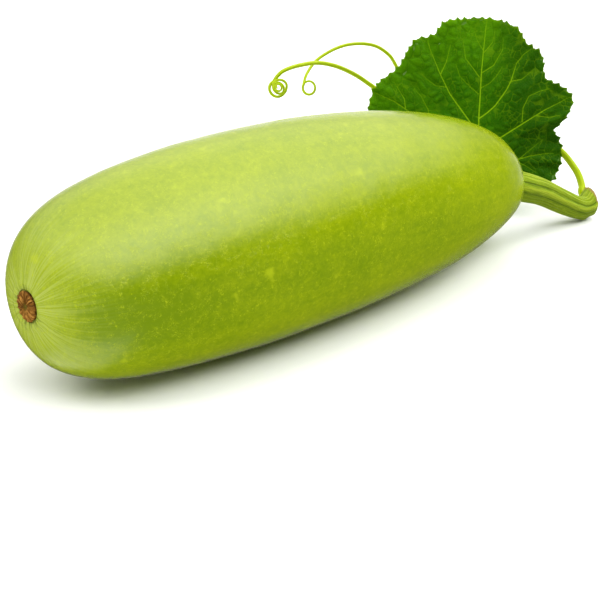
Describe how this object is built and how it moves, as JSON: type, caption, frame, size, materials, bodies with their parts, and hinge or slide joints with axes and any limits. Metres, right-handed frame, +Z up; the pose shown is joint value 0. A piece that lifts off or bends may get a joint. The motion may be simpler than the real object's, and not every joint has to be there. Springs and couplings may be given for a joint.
{
  "type": "bottle gourd",
  "caption": "Long bottle gourd lying on its belly, with its ribbed stem, a lobed leaf on its stalk and a forked tendril coiled at its tips.",
  "frame": {"origin": "on the flat of the belly that the fruit lies on, under the middle of the fruit's length", "axes": "+X runs along the fruit from its blossom end to its stem end; +Z is up, away from the surface it lies on; +Y is the side the leaf and the tendril are on"},
  "size_m": [0.4013, 0.1891, 0.1121],
  "materials": {
    "fruit_skin": "smooth pale green skin with a soft sheen and fine down",
    "scar_cork": "dry rough cork",
    "stem_green": "ribbed, dull",
    "leaf_green": "deep green, soft, with raised paler veins",
    "shoot_green": "smooth yellow-green shoot"
  },
  "bodies": {
    "root": {"fruit": "fruit_skin", "blossom_scar": "scar_cork", "stem": "stem_green", "leaf_stalk": "shoot_green", "leaf_blade": "leaf_green", "long_tendril": "shoot_green", "short_tendril": "shoot_green"}
  },
  "joints": []
}
